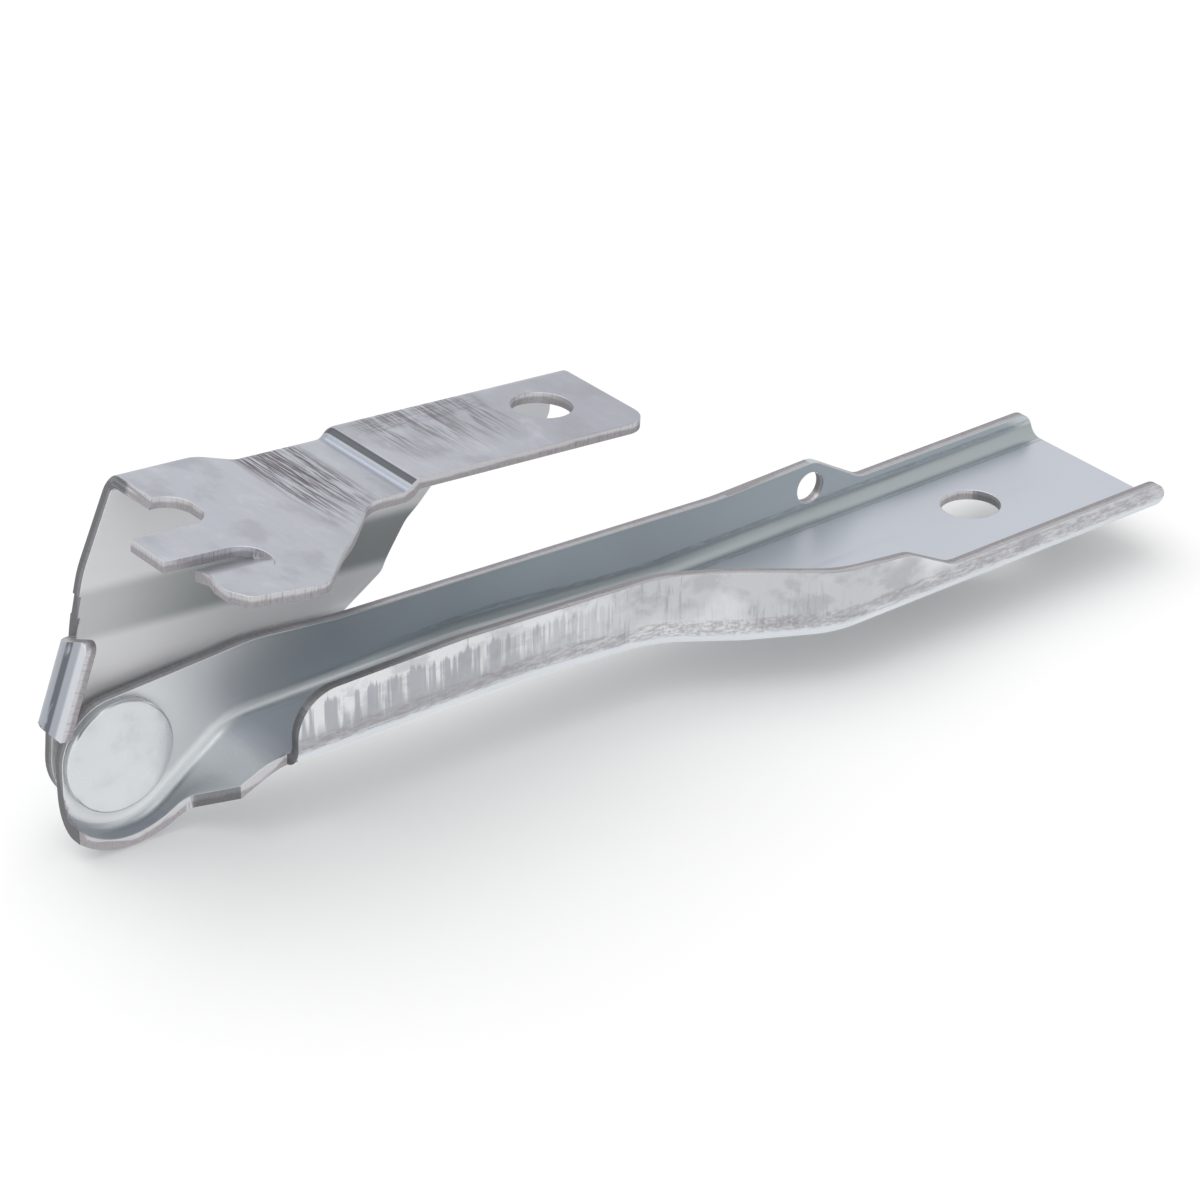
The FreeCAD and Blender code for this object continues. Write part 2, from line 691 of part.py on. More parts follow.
turned("backing_washer", [
    ("web_lower_y", "rivet_neck_d*0.5"),
    ("web_lower_y", "backing_d*0.5"),
    ("web_lower_y + backing_t - rivet_edge", "backing_d*0.5"),
    ("web_lower_y + backing_t", "backing_d*0.5 - rivet_edge"),
    ("web_lower_y + backing_t", "rivet_neck_d*0.5"),
])

doc.recompute()
for item in doc.Objects:
    if "Invalid" in item.State or "Error" in item.State:
        raise RuntimeError("not rebuilt: " + item.Name)

for name in ("hinge_arm", "bonnet_bracket", "pivot_rivet", "pivot_bush", "thrust_washer", "backing_washer"):
    piece = doc.getObject(name)
    shape = piece.Shape
    if shape.isNull() or not shape.isValid() or len(shape.Solids) != 1:
        raise RuntimeError("bad solid: " + name)
    shape.exportStep("parts/" + name + ".step")
    box = shape.BoundBox
    print(name, "volume %.0f" % shape.Volume, "x %.1f %.1f y %.1f %.1f z %.1f %.1f"
          % (box.XMin, box.XMax, box.YMin, box.YMax, box.ZMin, box.ZMax))
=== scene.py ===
import json
import math

import bmesh
import bpy
import numpy as np
from mathutils import Matrix, Vector
from mathutils.bvhtree import BVHTree


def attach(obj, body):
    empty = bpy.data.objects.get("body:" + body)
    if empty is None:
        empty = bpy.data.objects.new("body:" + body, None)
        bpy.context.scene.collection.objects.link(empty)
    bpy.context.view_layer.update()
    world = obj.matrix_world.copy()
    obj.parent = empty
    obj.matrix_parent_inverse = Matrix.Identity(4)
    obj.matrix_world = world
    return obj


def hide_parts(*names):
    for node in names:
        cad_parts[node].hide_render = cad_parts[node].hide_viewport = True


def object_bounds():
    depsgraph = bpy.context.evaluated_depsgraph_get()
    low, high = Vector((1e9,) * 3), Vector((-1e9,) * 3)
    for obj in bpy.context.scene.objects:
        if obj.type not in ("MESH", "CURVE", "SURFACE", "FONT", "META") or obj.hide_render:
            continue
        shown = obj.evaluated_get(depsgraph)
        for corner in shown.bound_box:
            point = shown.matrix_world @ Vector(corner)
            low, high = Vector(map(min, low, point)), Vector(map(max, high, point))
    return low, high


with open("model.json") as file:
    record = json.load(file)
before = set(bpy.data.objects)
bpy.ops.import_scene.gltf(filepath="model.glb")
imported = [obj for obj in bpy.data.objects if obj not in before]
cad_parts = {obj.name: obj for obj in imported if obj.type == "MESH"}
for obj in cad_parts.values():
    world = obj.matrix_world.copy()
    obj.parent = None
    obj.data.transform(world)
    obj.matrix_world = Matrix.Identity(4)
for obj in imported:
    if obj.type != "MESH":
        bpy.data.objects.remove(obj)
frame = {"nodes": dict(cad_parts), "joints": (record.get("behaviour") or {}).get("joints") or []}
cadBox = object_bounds()
mm = 0.001
pivot = np.array(frame["joints"][0]["pos_m"])
print("frame loaded:", sorted(frame["nodes"]))


# Colours and nodes

def linear(hexText):
    # sRGB hex to the linear values that Blender's sockets take
    parts = [int(hexText[i:i + 2], 16) / 255 for i in (1, 3, 5)]
    return tuple(p / 12.92 if p <= 0.04045 else ((p + 0.055) / 1.055) ** 2.4 for p in parts) + (1.0,)


def newMaterial(name):
    material = bpy.data.materials.new(name)
    material.use_nodes = True
    material.node_tree.nodes.clear()
    return material, material.node_tree


def add(tree, kind, settings=None, links=None):
    # one node, its settings (sockets by name or number, or properties) and what feeds its sockets
    node = tree.nodes.new(kind)
    for key, value in (settings or {}).items():
        if isinstance(key, str) and hasattr(node, key):
            setattr(node, key, value)
        else:
            node.inputs[key].default_value = value
    for key, source in (links or {}).items():
        tree.links.new(source, node.inputs[key])
    return node


def pattern(tree, place, sizeMm, stretch=(1, 1, 1), detail=3.0, roughness=0.5):
    # noise whose grain is sizeMm across, longer along an axis whose stretch is above 1
    scale = tuple(1 / (sizeMm * mm * s) for s in stretch)
    mapped = add(tree, "ShaderNodeMapping", {"Scale": scale}, {"Vector": place})
    noise = add(tree, "ShaderNodeTexNoise", {"Scale": 1.0, "Detail": detail, "Roughness": roughness},
                {"Vector": mapped.outputs[0]})
    return noise.outputs["Fac"]


def ramp(tree, value, low, high, bottom=0.0, top=1.0):
    # value from low to high becomes bottom to top, held outside
    node = add(tree, "ShaderNodeMapRange",
               {"From Min": low, "From Max": high, "To Min": bottom, "To Max": top,
                "interpolation_type": "SMOOTHSTEP"}, {"Value": value})
    return node.outputs["Result"]


def rampMm(tree, value, low, high, bottom=0.0, top=1.0):
    # the same for a length, with its two ends in millimetres
    return ramp(tree, value, low * mm, high * mm, bottom, top)


def maths(tree, operation, first, second):
    # two numbers or sockets joined by the named operation
    node = add(tree, "ShaderNodeMath", {"operation": operation})
    for socket, value in zip(node.inputs, (first, second)):
        if isinstance(value, (int, float)):
            socket.default_value = value
        else:
            tree.links.new(value, socket)
    return node.outputs[0]


def mixed(tree, share, first, second):
    # colour between two hex colours or sockets
    node = add(tree, "ShaderNodeMix", {"data_type": "RGBA"})
    for socket, value in ((node.inputs["Factor"], share), (node.inputs[6], first), (node.inputs[7], second)):
        if isinstance(value, str):
            socket.default_value = linear(value)
        elif isinstance(value, (int, float)):
            socket.default_value = value
        else:
            tree.links.new(value, socket)
    return node.outputs[2]


def metalEnd(tree, colour, roughness, height, heightMm):
    # bare metal shader: default IOR, bump height in millimetres
    bump = add(tree, "ShaderNodeBump", {"Strength": 1.0, "Distance": heightMm * mm}, {"Height": height})
    shader = add(tree, "ShaderNodeBsdfPrincipled", {"Metallic": 1.0},
                 {"Base Color": colour, "Roughness": roughness, "Normal": bump.outputs[0]})
    add(tree, "ShaderNodeOutputMaterial", {}, {"Surface": shader.outputs[0]})


def scaled(tree, value, factor, shift=0.0):
    # value times factor plus shift
    node = add(tree, "ShaderNodeMath", {"operation": "MULTIPLY_ADD", 1: factor, 2: shift}, {0: value})
    return node.outputs[0]


def product(tree, *shares):
    # all the shares multiplied, so that each of them can hold the mark back
    total = shares[0]
    for share in shares[1:]:
        total = maths(tree, "MULTIPLY", total, share)
    return total


def between(tree, value, low, high, soft):
    # 1 from low to high in millimetres, falling to 0 over the soft distance outside
    return product(tree, rampMm(tree, value, low - soft, low),
                   rampMm(tree, value, high, high + soft, 1.0, 0.0))


def marked(tree, base, share, mark):
    # base with the mark's colour laid over it where share is 1, as strongly as its amount says
    return mixed(tree, scaled(tree, share, mark["amount"]), base, mark["colour"])


def surfaceInputs(tree):
    # place on the piece, its three coordinates, and which way the face looks at rest
    place = add(tree, "ShaderNodeTexCoord").outputs["Object"]
    facing = add(tree, "ShaderNodeAttribute", {"attribute_name": "facing"}).outputs["Vector"]
    axes = add(tree, "ShaderNodeSeparateXYZ", {}, {"Vector": place}).outputs
    turned = add(tree, "ShaderNodeSeparateXYZ", {}, {"Vector": facing}).outputs
    return place, axes, turned


# Zinc electroplated steel sheet, pressed and folded: a satin pale grey skin with soft cloudy
# patches and a fine orange-peel grain from the rolled sheet
zincSkin = {
    "light": "#D0D4D7", "dark": "#C4C9CC", "spark": "#E4E6E8",
    "cloudMm": 30.0, "cloudAt": (0.36, 0.64), "grainMm": 0.6, "grainAt": (0.50, 0.70, 0.0, 0.14),
    "roughness": (0.3, 0.7, 0.30, 0.42), "reliefMm": 0.012,
}


def zincBase(tree, place, look):
    # colour, roughness and grain of the plain skin, before the marks of its pressing
    cloud = pattern(tree, place, look["cloudMm"], detail=4.0)
    grain = pattern(tree, place, look["grainMm"], detail=4.0, roughness=0.6)
    base = mixed(tree, ramp(tree, cloud, *look["cloudAt"]), look["dark"], look["light"])
    base = mixed(tree, ramp(tree, grain, *look["grainAt"]), base, look["spark"])
    return base, ramp(tree, cloud, *look["roughness"]), grain


# Bracket: the die dragged along Y and left bundles of dark scratches in the flange's recess and
# beside its bolt hole; the web below stays clean. Lengths along the flange run from the pivot, and
# a third number is the soft distance over which a mark fades out.
flangeMarks = {
    "tiltDegrees": 4.97,
    # how far a face's normal has to turn up, to the front or to the left before it counts
    "facesUp": (0.80, 0.95), "facesFront": (-0.80, -0.95), "facesLeft": (-0.6, -0.85),
    "stepFacesUp": (0.3, 0.6),
    # painted light and shade: faces that look up, to the front and to the left each get their own tint
    "flange": {"colour": "#B2B4BD", "amount": 0.9},
    "farEnd": {"colour": "#9C9DA8", "amount": 0.5, "along": (50.0, 76.0)},
    "web": {"colour": "#F6F6F7", "amount": 0.97, "duller": 0.30},
    "shadedLeftSide": {"colour": "#A4A8B2", "amount": 0.85},
    # painted dark reflection in the tab's fold and painted highlight on its corner
    "tabFoldReflection": {"colour": "#54585F", "amount": 0.8, "across": (13.2, 14.4, 0.5),
                "grainMm": 2.0, "grainStretch": (1, 1, 3), "grainAt": (0.3, 0.5)},
    "tabCornerHighlight": {"colour": "#DDE1E6", "amount": 0.8, "across": (9.0, 10.6, 0.8)},
    "blotchMm": 7.0, "blotchStretch": (1, 1.6, 1),
    "darkBlotch": "#9B9BA4", "darkBlotchAt": (0.48, 0.66, 0.0, 0.5),
    "lightBlotch": "#D4D5DE", "lightBlotchAt": (0.30, 0.44, 0.3, 0.0),
    # painted shade on the web's joggle
    "joggleShade": {"colour": "#959C9A", "amount": 0.65, "rise": (21.5, 28.5, 2.5),
               "along": (-8.0, 25.0, 0.45, 1.0)},
    "scratch": "#6A656A", "scratchMm": 0.36, "scratchStretch": (1, 30, 1), "scratchAt": (0.40, 0.56),
    "bundleMm": 2.2, "bundleStretch": (1, 7, 1), "bundleAt": (0.34, 0.50),
    "recess": {"along": (22.6, 31.5, 3.5), "across": (-20.0, 2.0), "amount": 1.0},
    "pad": {"along": (47.0, 66.0, 5.0), "across": (-8.0, 10.0), "amount": 0.75},
    "elsewhere": 0.04,
    "rubbed": {"colour": "#6A656A", "amount": 0.32, "along": (44.5, 66.0, 3.0), "across": (10.0, 13.5, 1.5),
               "grainMm": 0.45, "grainStretch": (9, 1, 1), "grainAt": (0.40, 0.60)},
    # painted reflection on the step's slope and painted shade on its crest
    "slope": {"colour": "#989EAA", "amount": 0.8, "along": (38.4, 39.5, 0.4)},
    "crestShade": {"colour": "#4E5054", "amount": 0.95, "along": (39.9, 40.7, 0.25)},
    "wornDuller": 0.15, "wornRelief": -0.8,
}


def bracketMaterial(name, look, marks):
    material, tree = newMaterial(name)
    place, axes, turned = surfaceInputs(tree)
    base, rough, grain = zincBase(tree, place, look)
    # distance along the flange from the pivot, height above it and distance across the flange, in
    # the bracket's own tilted frame
    tilt = math.radians(marks["tiltDegrees"])
    cosine, sine = math.cos(tilt), math.sin(tilt)
    along = maths(tree, "ADD", scaled(tree, axes[0], cosine),
                  scaled(tree, axes[2], -sine, pivot[2] * sine - pivot[0] * cosine))
    rise = maths(tree, "ADD", scaled(tree, axes[0], sine),
                 scaled(tree, axes[2], cosine, -pivot[0] * sine - pivot[2] * cosine))
    across = axes[1]
    onTop = ramp(tree, turned[2], *marks["facesUp"])
    upright = ramp(tree, turned[1], *marks["facesFront"])
    leftward = ramp(tree, turned[0], *marks["facesLeft"])

    # painted light and shade by side: faces that look up are shaded lavender grey, faces that look to the front
    # are lit near white, faces that look left are shaded darker, and the top darkens towards its far end
    base = marked(tree, base, onTop, marks["flange"])
    farEnd = product(tree, onTop, rampMm(tree, along, *marks["farEnd"]["along"]))
    base = marked(tree, base, farEnd, marks["farEnd"])
    base = marked(tree, base, upright, marks["web"])
    base = marked(tree, base, leftward, marks["shadedLeftSide"])

    # the stop tab: a painted dark reflection along its fold and a painted highlight on its rounded corner
    mark = marks["tabFoldReflection"]
    foldGrain = pattern(tree, place, mark["grainMm"], stretch=mark["grainStretch"], detail=2.0)
    foldReflection = product(tree, leftward, between(tree, across, *mark["across"]),
                   ramp(tree, foldGrain, *mark["grainAt"]))
    base = marked(tree, base, foldReflection, mark)
    corner = product(tree, leftward, between(tree, across, *marks["tabCornerHighlight"]["across"]))
    base = marked(tree, base, corner, marks["tabCornerHighlight"])

    # dark and light blotches on the flange, and painted shade on the web's joggle, which the flange above
    # shades
    blotch = pattern(tree, place, marks["blotchMm"], stretch=marks["blotchStretch"], detail=5.0, roughness=0.6)
    for colour, limits in (("darkBlotch", "darkBlotchAt"), ("lightBlotch", "lightBlotchAt")):
        share = product(tree, onTop, ramp(tree, blotch, *marks[limits]))
        base = mixed(tree, share, base, marks[colour])
    mark = marks["joggleShade"]
    joggleShade = product(tree, upright, between(tree, rise, *mark["rise"]), rampMm(tree, along, *mark["along"]))
    base = marked(tree, base, joggleShade, mark)

    # scratches: fine lines, kept where the coarser bundles are, in the recess and on the pad
    fine = pattern(tree, place, marks["scratchMm"], stretch=marks["scratchStretch"], detail=3.0, roughness=0.7)
    bundle = pattern(tree, place, marks["bundleMm"], stretch=marks["bundleStretch"], detail=3.0)
    scratches = product(tree, ramp(tree, fine, *marks["scratchAt"]), ramp(tree, bundle, *marks["bundleAt"]))
    places = marks["elsewhere"]
    for mark in (marks["recess"], marks["pad"]):
        spot = product(tree, between(tree, along, *mark["along"]), rampMm(tree, across, *mark["across"]))
        places = maths(tree, "MAXIMUM", scaled(tree, spot, mark["amount"]), places)
    dragged = product(tree, onTop, scratches, places)
    base = mixed(tree, dragged, base, marks["scratch"])

    # short dashes rubbed along the pad's rear edge
    mark = marks["rubbed"]
    dashes = pattern(tree, place, mark["grainMm"], stretch=mark["grainStretch"], detail=5.0, roughness=0.7)
    rubbed = product(tree, onTop, between(tree, along, *mark["along"]), between(tree, across, *mark["across"]),
                     ramp(tree, dashes, *mark["grainAt"]))
    base = marked(tree, base, rubbed, mark)

    # the step: painted reflection greys its slope and painted shade draws its crest as a dark line
    stepTop = ramp(tree, turned[2], *marks["stepFacesUp"])
    for mark in (marks["slope"], marks["crestShade"]):
        base = marked(tree, base, product(tree, stepTop, between(tree, along, *mark["along"])), mark)

    worn = maths(tree, "ADD", dragged, rubbed)
    rough = maths(tree, "ADD", rough, scaled(tree, worn, marks["wornDuller"]))
    rough = maths(tree, "ADD", rough, scaled(tree, upright, marks["web"]["duller"]))
    relief = maths(tree, "ADD", grain, scaled(tree, worn, marks["wornRelief"]))
    metalEnd(tree, base, rough, relief, look["reliefMm"])
    return material


# Arm: the front wall's outer face was drawn through the die, so pale marks hang from its top
# edge like icicles at the narrow end, over a duller, speckled grey; the bend below has a burnished line
wallMarks = {
    "facesUp": (0.85, 0.97), "facesFront": (-0.75, -0.92),
    # places in millimetres: where the rear and front walls begin, and how the floor rises
    "rearWall": (11.0, 12.0), "frontWall": (0.0, -2.0), "floorRise": (-62.0, -106.0), "riseBy": 3.5,
    # painted light and shade: the floor, the rear wall's inner face and the front wall's outer face each get
    # their own tint
    "floor": {"colour": "#BFC3CC", "amount": 0.85},
    "inner": {"colour": "#C2CACD", "amount": 0.7},
    # painted light on the rear wall's inner face near the rivet
    "litByRivet": {"colour": "#F2F4F6", "along": (-128.0, -158.0), "duller": 0.2},
    "wall": {"colour": "#D2D4D8", "amount": 0.85},
    "narrow": {"colour": "#B1B3B9", "amount": 0.8, "along": (-92.0, -116.0)},
    "wideFrom": (-128.0, -104.0),
    # painted shade in the bend between the floor and the rear wall
    "innerBendShade": {"colour": "#9CA3A5", "amount": 0.8, "height": (1.8, 4.4, 0.5), "across": (11.4, 12.0),
                  "facesUp": (0.02, 0.1)},
    "crease": {"colour": "#7A8084", "amount": 0.4, "onWall": (4.7, 5.0, 0.35), "onFloor": (10.9, 11.2, 0.35),
               "grainMm": 0.4, "grainStretch": (6, 1, 1), "grainAt": (0.35, 0.55)},
    "speck": "#96969C", "speckMm": 0.8, "speckAt": (0.5, 0.66, 0.0, 0.35), "speckHeight": (10.0, 3.0),
    "icicle": {"colour": "#ECEEF0", "amount": 0.85, "barMm": 1.0, "lengthMm": 1.3, "stretch": (1, 1, 30),
               "along": (-150.0, -100.0, 22.0), "hang": (10.0, 13.6), "reach": 9.0,
               "topBand": (10.6, 13.0, 0.0, 0.22), "barAt": (0.47, 0.60), "smoother": 0.08},
    "rub": {"colour": "#9C989C", "amount": 0.32, "sizeMm": 0.5, "stretch": (1, 1, 12), "at": (0.52, 0.64),
            "patchMm": 12.0, "patchAt": (0.46, 0.6), "along": (-104.0, -20.0, 8.0)},
    # painted shade and painted light in clouds on the front wall
    "shade": {"colour": "#A9AAB0", "amount": 0.45, "sizeMm": 5.0, "stretch": (1.5, 1, 1), "at": (0.46, 0.62)},
    "lit": {"colour": "#F0F2F4", "amount": 0.7, "sizeMm": 11.0, "stretch": (1.6, 1, 1), "at": (0.44, 0.62),
            "along": (-80.0, -20.0, 14.0)},
    # painted reflection of the floor under the front wall's bend
    "outerBendReflection": {"colour": "#E3E8EE", "amount": 0.9, "facesFront": (-0.1, -0.3), "facesDown": (-0.05, -0.40)},
    "bendLine": {"colour": "#A79FA3", "amount": 0.55, "height": (3.4, 5.6, 0.8), "facesFront": (0.0, -0.3),
                 "sizeMm": 0.5, "stretch": (5, 1, 1), "at": (0.40, 0.60)},
    "wornDuller": 0.12, "dimpleMm": 9.0, "dimpleDepthMm": 0.10,
}


def armMaterial(name, look, marks):
    material, tree = newMaterial(name)
    place, axes, turned = surfaceInputs(tree)
    base, rough, grain = zincBase(tree, place, look)
    onTop = ramp(tree, turned[2], *marks["facesUp"])
    facesFront = ramp(tree, turned[1], *marks["facesFront"])
    byFrontWall = rampMm(tree, axes[1], *marks["frontWall"])
    inner = product(tree, facesFront, rampMm(tree, axes[1], *marks["rearWall"]))
    outside = product(tree, facesFront, byFrontWall)

    # painted light and shade by side: the floor, which looks up, is shaded lavender grey, the rear wall's inner
    # face a little darker, and the front wall's outer face kept light
    base = marked(tree, base, onTop, marks["floor"])
    base = marked(tree, base, inner, marks["inner"])
    # painted light on the rear wall's inner face near the rivet
    litByRivet = product(tree, inner, rampMm(tree, axes[0], *marks["litByRivet"]["along"]))
    base = mixed(tree, litByRivet, base, marks["litByRivet"]["colour"])
    base = marked(tree, base, outside, marks["wall"])
    narrow = product(tree, outside, rampMm(tree, axes[0], *marks["narrow"]["along"]))
    base = marked(tree, base, narrow, marks["narrow"])

    # height above the arm's floor, which rises towards the pivot
    floorRise = rampMm(tree, axes[0], *marks["floorRise"], 0.0, marks["riseBy"] * mm)
    height = maths(tree, "SUBTRACT", axes[2], floorRise)

    # bend between the floor and the rear wall: painted shade darkens it, with a faint dark mottled line along
    # each side
    wide = rampMm(tree, axes[0], *marks["wideFrom"])
    mark = marks["innerBendShade"]
    innerBendShade = product(tree, wide, between(tree, height, *mark["height"]),
                        rampMm(tree, axes[1], *mark["across"]), ramp(tree, turned[2], *mark["facesUp"]))
    base = marked(tree, base, innerBendShade, mark)
    mark = marks["crease"]
    creases = maths(tree, "ADD", product(tree, inner, between(tree, height, *mark["onWall"])),
                    product(tree, onTop, between(tree, axes[1], *mark["onFloor"])))
    creaseGrain = pattern(tree, place, mark["grainMm"], stretch=mark["grainStretch"], detail=4.0, roughness=0.7)
    creases = product(tree, creases, wide, ramp(tree, creaseGrain, *mark["grainAt"]))
    base = marked(tree, base, creases, mark)

    # specks, thicker towards the bottom of the front wall
    speck = pattern(tree, place, marks["speckMm"], detail=5.0, roughness=0.7)
    specks = product(tree, outside, ramp(tree, speck, *marks["speckAt"]),
                     rampMm(tree, height, *marks["speckHeight"]))
    base = mixed(tree, specks, base, marks["speck"])

    # icicles: upright bars, each hanging down to its own height
    mark = marks["icicle"]
    bars = pattern(tree, place, mark["barMm"], stretch=mark["stretch"], detail=2.0)
    length = pattern(tree, place, mark["lengthMm"], stretch=mark["stretch"], detail=1.0)
    tip = maths(tree, "ADD", height, scaled(tree, length, mark["reach"] * mm))
    bars = maths(tree, "ADD", bars, rampMm(tree, height, *mark["topBand"]))
    icicles = product(tree, outside, ramp(tree, bars, *mark["barAt"]), rampMm(tree, tip, *mark["hang"]),
                      between(tree, axes[0], *mark["along"]))
    base = marked(tree, base, icicles, mark)

    # rubbed streaks in patches, then painted shade and painted light in clouds
    mark = marks["rub"]
    rub = pattern(tree, place, mark["sizeMm"], stretch=mark["stretch"], detail=4.0, roughness=0.6)
    patch = pattern(tree, place, mark["patchMm"], detail=2.0)
    rubs = product(tree, outside, ramp(tree, rub, *mark["at"]), ramp(tree, patch, *mark["patchAt"]),
                   between(tree, axes[0], *mark["along"]))
    base = marked(tree, base, rubs, mark)
    mark = marks["shade"]
    shade = pattern(tree, place, mark["sizeMm"], stretch=mark["stretch"], detail=4.0, roughness=0.6)
    base = marked(tree, base, product(tree, outside, ramp(tree, shade, *mark["at"])), mark)
    mark = marks["lit"]
    lit = pattern(tree, place, mark["sizeMm"], stretch=mark["stretch"], detail=3.0)
    lit = product(tree, outside, ramp(tree, lit, *mark["at"]), between(tree, axes[0], *mark["along"]))
    base = marked(tree, base, lit, mark)

    # bend below the front wall: painted reflection of the floor makes it bright underneath, with a burnished
    # line where it meets the wall
    mark = marks["outerBendReflection"]
    undersideReflection = product(tree, byFrontWall, ramp(tree, turned[1], *mark["facesFront"]),
                        ramp(tree, turned[2], *mark["facesDown"]))
    base = marked(tree, base, undersideReflection, mark)
    mark = marks["bendLine"]
    burnish = pattern(tree, place, mark["sizeMm"], stretch=mark["stretch"], detail=5.0, roughness=0.7)
    bendLine = product(tree, byFrontWall, between(tree, height, *mark["height"]),
                       ramp(tree, turned[1], *mark["facesFront"]), ramp(tree, burnish, *mark["at"]))
    base = marked(tree, base, bendLine, mark)

    rough = maths(tree, "ADD", rough, scaled(tree, maths(tree, "ADD", rubs, bendLine), marks["wornDuller"]))
    rough = maths(tree, "SUBTRACT", rough, scaled(tree, icicles, marks["icicle"]["smoother"]))
    rough = maths(tree, "ADD", rough, scaled(tree, litByRivet, marks["litByRivet"]["duller"]))
    dimples = product(tree, byFrontWall, pattern(tree, place, marks["dimpleMm"], detail=1.0))
    relief = maths(tree, "ADD", grain, scaled(tree, dimples, marks["dimpleDepthMm"] / look["reliefMm"]))
    metalEnd(tree, base, rough, relief, look["reliefMm"])
    return material


# Sheared edge of the same sheet: a smooth burnished band on the punch side, and below it the
# pinkish grey band where the metal tore, with fine upright striae across the thickness
shearedEdge = {
    "burnished": "#D3D2D5", "torn": "#B7B3B7", "dark": "#8C898D", "bandAt": (0.24, 0.56),
    "striaMm": 0.28, "striaAt": (0.5, 0.68, 0.0, 0.45), "patchMm": 5.0, "patchReach": 0.5,
    "crumbMm": 0.35, "crumbAt": (0.46, 0.70, 0.0, 0.5), "roughness": (0.0, 1.0, 0.36, 0.56), "reliefMm": 0.03,
    # edges that face up are darker; on edges that face left painted shade darkens them, except on the flange,
    # which lies higher and in front
    "facesUp": (0.55, 0.85), "upward": "#67666A", "upwardShare": 0.85,
    "facesLeft": (-0.6, -0.85), "leftward": {"colour": "#5F6265", "amount": 0.75},
    "flangeHeight": (40.0, 44.0), "flangeFront": (12.5, 11.0), "flangeSpared": 0.8,
}


def edgeMaterial(name, look):
    # the band across the thickness and the striae come from the layers that pressedSheet lays
    material, tree = newMaterial(name)
    place, axes, turned = surfaceInputs(tree)
    striae = add(tree, "ShaderNodeAttribute", {"attribute_name": "striae"}).outputs["Vector"]
    band = add(tree, "ShaderNodeUVMap", {"uv_map": "band"}).outputs["UV"]
    depth = add(tree, "ShaderNodeSeparateXYZ", {}, {"Vector": band}).outputs[1]
    lines = pattern(tree, striae, look["striaMm"], detail=3.0, roughness=0.6)
    patches = pattern(tree, place, look["patchMm"], detail=3.0)
    crumbs = pattern(tree, place, look["crumbMm"], detail=4.0, roughness=0.7)
    wavy = maths(tree, "ADD", depth, scaled(tree, patches, look["patchReach"], -look["patchReach"] / 2))
    torn = ramp(tree, wavy, *look["bandAt"])
    tornColour = mixed(tree, ramp(tree, crumbs, *look["crumbAt"]), look["torn"], look["dark"])
    colour = mixed(tree, torn, look["burnished"], tornColour)
    colour = mixed(tree, ramp(tree, lines, *look["striaAt"]), colour, look["dark"])
    upward = scaled(tree, ramp(tree, turned[2], *look["facesUp"]), look["upwardShare"])
    colour = mixed(tree, upward, colour, mixed(tree, lines, look["upward"], colour))
    flangeEdge = product(tree, rampMm(tree, axes[2], *look["flangeHeight"]),
                         rampMm(tree, axes[1], *look["flangeFront"]))
    # painted shade on edges that face left, held back on the flange's edges
    leftward = product(tree, ramp(tree, turned[0], *look["facesLeft"]),
                       scaled(tree, flangeEdge, -look["flangeSpared"], 1.0))
    colour = marked(tree, colour, leftward, look["leftward"])
    relief = maths(tree, "ADD", lines, product(tree, torn, crumbs))
    metalEnd(tree, colour, ramp(tree, torn, *look["roughness"]), relief, look["reliefMm"])
    return material


# Rivet: cold headed and plated, nearly mirror smooth with faint smudges
rivetSkin = {
    "first": "#DDE0E3", "second": "#CCCFD3", "cloudMm": 4.5, "cloudRoughness": 0.6,
    "cloudAt": (0.50, 0.72, 0.0, 0.45), "roughness": (0.35, 0.7, 0.27, 0.33),
    "fineMm": 0.8, "fineDetail": 3.0, "fineRoughness": 0.5, "reliefMm": 0.001,
}

# Bush: sintered bronze with a dull, slightly speckled skin
bushSkin = {
    "first": "#8C7350", "second": "#A98C62", "cloudMm": 0.3, "cloudRoughness": 0.7,
    "cloudAt": (0.4, 0.6), "roughness": (0.3, 0.7, 0.45, 0.6),
    "fineMm": 0.3, "fineDetail": 4.0, "fineRoughness": 0.7, "reliefMm": 0.02,
}

# Washers: stamped and zinc plated, dull with soft patches
washerSkin = {
    "first": "#9FA3A8", "second": "#B9BCC1", "cloudMm": 3.0, "cloudRoughness": 0.5,
    "cloudAt": (0.4, 0.65), "roughness": (0.3, 0.7, 0.35, 0.5),
    "fineMm": 0.4, "fineDetail": 3.0, "fineRoughness": 0.5, "reliefMm": 0.01,
}


def pivotMaterial(name, look):
    material, tree = newMaterial(name)
    place = add(tree, "ShaderNodeTexCoord").outputs["Object"]
    cloud = pattern(tree, place, look["cloudMm"], detail=4.0, roughness=look["cloudRoughness"])
    fine = pattern(tree, place, look["fineMm"], detail=look["fineDetail"], roughness=look["fineRoughness"])
    colour = mixed(tree, ramp(tree, cloud, *look["cloudAt"]), look["first"], look["second"])
    metalEnd(tree, colour, ramp(tree, cloud, *look["roughness"]), fine, look["reliefMm"])
    return material


armSkin = armMaterial("zincPlatedPressedSteelArm", zincSkin, wallMarks)
bracketSkin = bracketMaterial("zincPlatedPressedSteelBracket", zincSkin, flangeMarks)
cutEdge = edgeMaterial("shearedZincPlatedEdge", shearedEdge)
headMetal = pivotMaterial("headedZincPlatedRivet", rivetSkin)
bushMetal = pivotMaterial("sinteredBronzeBush", bushSkin)
washerMetal = pivotMaterial("stampedZincWasher", washerSkin)
print("materials made")


# Pressed sheets

